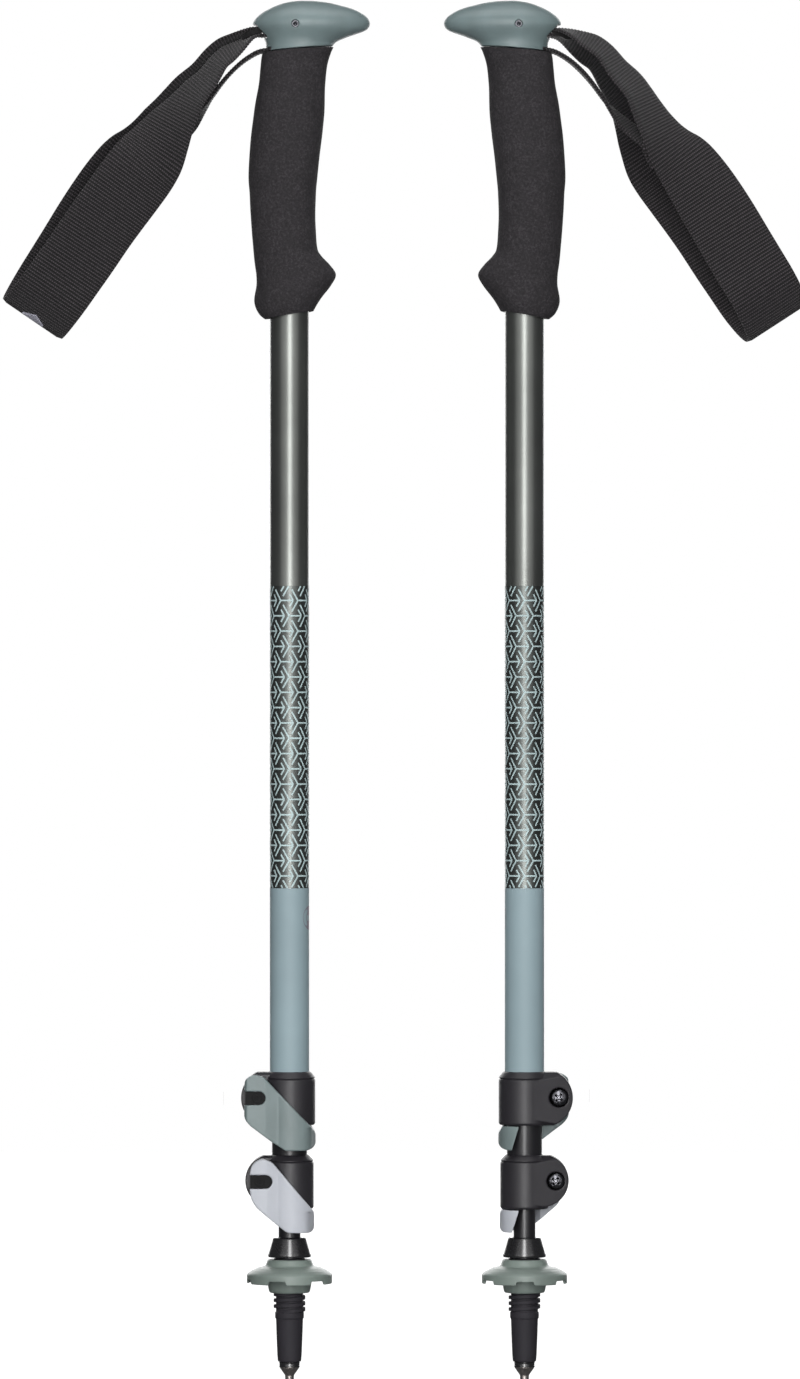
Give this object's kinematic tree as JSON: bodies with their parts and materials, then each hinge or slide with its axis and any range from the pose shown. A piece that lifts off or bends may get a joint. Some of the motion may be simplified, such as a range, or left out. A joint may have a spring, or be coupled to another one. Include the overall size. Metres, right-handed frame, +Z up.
{
  "type": "pair of telescopic trekking poles",
  "caption": "Telescopic trekking poles with foam grips, wrist straps, cam-lever length locks, screw-on baskets and metal tips, shown collapsed and upright.",
  "frame": {"origin": "on the ground, midway between the two metal tips", "axes": "+Z up along both poles, +X from the left pole to the right one, +Y away from the side with the left pole's levers"},
  "size_m": [0.3687, 0.0524, 0.6339],
  "materials": {
    "tip_metal": "satin metal",
    "tip_plastic": "matt moulded",
    "gloss_black": "gloss",
    "basket_plastic": "matt moulded",
    "black_tube": "gloss black anodised",
    "gunmetal_tube": "satin, patterned and painted bands",
    "lock_plastic": "semi-matt moulded",
    "upper_lever_plastic": "semi-matt moulded",
    "lower_lever_plastic": "semi-matt moulded",
    "black_steel": "black, satin",
    "grip_foam": "matt foam",
    "head_plastic": "semi-matt moulded",
    "webbing": "ribbed woven webbing"
  },
  "bodies": {
    "left_lower": {"left_lower_shaft": "black_tube", "left_lower_bushing": "tip_plastic", "left_tip_body": "tip_plastic", "left_tip_point": "tip_metal", "left_tip_collar": "gloss_black"},
    "left_basket": {"left_basket": "basket_plastic"},
    "left_middle": {"left_middle_shaft": "black_tube", "left_middle_bushing": "tip_plastic", "left_lower_lock_collar": "lock_plastic", "left_lower_lock_screw": "black_steel", "left_lower_lock_barrel": "black_steel"},
    "left_lower_lever": {"left_lower_lock_lever": "lower_lever_plastic"},
    "left_upper": {"left_upper_shaft": "gunmetal_tube", "left_upper_lock_collar": "lock_plastic", "left_upper_lock_screw": "black_steel", "left_upper_lock_barrel": "black_steel", "left_grip_core": "tip_plastic", "left_grip_foam": "grip_foam", "left_grip_head": "head_plastic", "left_strap_pin": "tip_metal", "left_strap_wedge": "tip_plastic", "left_strap_anchor": "webbing"},
    "left_upper_lever": {"left_upper_lock_lever": "upper_lever_plastic"},
    "left_strap": {"left_strap": "webbing", "left_strap_tail": "webbing"},
    "right_lower": {"right_lower_shaft": "black_tube", "right_lower_bushing": "tip_plastic", "right_tip_body": "tip_plastic", "right_tip_point": "tip_metal", "right_tip_collar": "gloss_black"},
    "right_basket": {"right_basket": "basket_plastic"},
    "right_middle": {"right_middle_shaft": "black_tube", "right_middle_bushing": "tip_plastic", "right_lower_lock_collar": "lock_plastic", "right_lower_lock_screw": "black_steel", "right_lower_lock_barrel": "black_steel"},
    "right_lower_lever": {"right_lower_lock_lever": "lower_lever_plastic"},
    "right_upper": {"right_upper_shaft": "gunmetal_tube", "right_upper_lock_collar": "lock_plastic", "right_upper_lock_screw": "black_steel", "right_upper_lock_barrel": "black_steel", "right_grip_core": "tip_plastic", "right_grip_foam": "grip_foam", "right_grip_head": "head_plastic", "right_strap_pin": "tip_metal", "right_strap_wedge": "tip_plastic", "right_strap_anchor": "webbing"},
    "right_upper_lever": {"right_upper_lock_lever": "upper_lever_plastic"},
    "right_strap": {"right_strap": "webbing", "right_strap_tail": "webbing"}
  },
  "joints": [
    {"name": "left_middle_slide", "type": "slide", "parent": "left_lower", "child": "left_middle", "axis": [0, 0, 1], "range_m": [0, 0.38]},
    {"name": "left_upper_slide", "type": "slide", "parent": "left_middle", "child": "left_upper", "axis": [0, 0, 1], "range_m": [0, 0.38]},
    {"name": "left_lower_lever_swing", "type": "hinge", "parent": "left_middle", "child": "left_lower_lever", "pos_m": [-0.068, -0.0112, 0.0937], "axis": [0, 0, -1], "range_deg": [0, 110]},
    {"name": "left_upper_lever_swing", "type": "hinge", "parent": "left_upper", "child": "left_upper_lever", "pos_m": [-0.0694, -0.0116, 0.1319], "axis": [0, 0, -1], "range_deg": [0, 110]},
    {"name": "left_strap_swing", "type": "hinge", "parent": "left_upper", "child": "left_strap", "pos_m": [-0.0704, 0, 0.6192], "axis": [0, 1, 0], "range_deg": [-10, 50]},
    {"name": "left_basket_turn", "type": "hinge", "parent": "left_lower", "child": "left_basket", "pos_m": [-0.0538, 0, 0.05], "axis": [0, 0, 1], "range_deg": [0, 360]},
    {"name": "right_pole_lift", "type": "slide", "parent": "left_lower", "child": "right_lower", "axis": [0, 0, 1], "range_m": [0, 0.4]},
    {"name": "right_middle_slide", "type": "slide", "parent": "right_lower", "child": "right_middle", "axis": [0, 0, 1], "range_m": [0, 0.38]},
    {"name": "right_upper_slide", "type": "slide", "parent": "right_middle", "child": "right_upper", "axis": [0, 0, 1], "range_m": [0, 0.38]},
    {"name": "right_lower_lever_swing", "type": "hinge", "parent": "right_middle", "child": "right_lower_lever", "pos_m": [0.068, 0.0112, 0.0937], "axis": [0, 0, -1], "range_deg": [0, 110]},
    {"name": "right_upper_lever_swing", "type": "hinge", "parent": "right_upper", "child": "right_upper_lever", "pos_m": [0.0694, 0.0116, 0.1319], "axis": [0, 0, -1], "range_deg": [0, 110]},
    {"name": "right_strap_swing", "type": "hinge", "parent": "right_upper", "child": "right_strap", "pos_m": [0.0704, 0, 0.6192], "axis": [0, -1, 0], "range_deg": [-10, 50]},
    {"name": "right_basket_turn", "type": "hinge", "parent": "right_lower", "child": "right_basket", "pos_m": [0.0538, 0, 0.05], "axis": [0, 0, 1], "range_deg": [0, 360]}
  ]
}
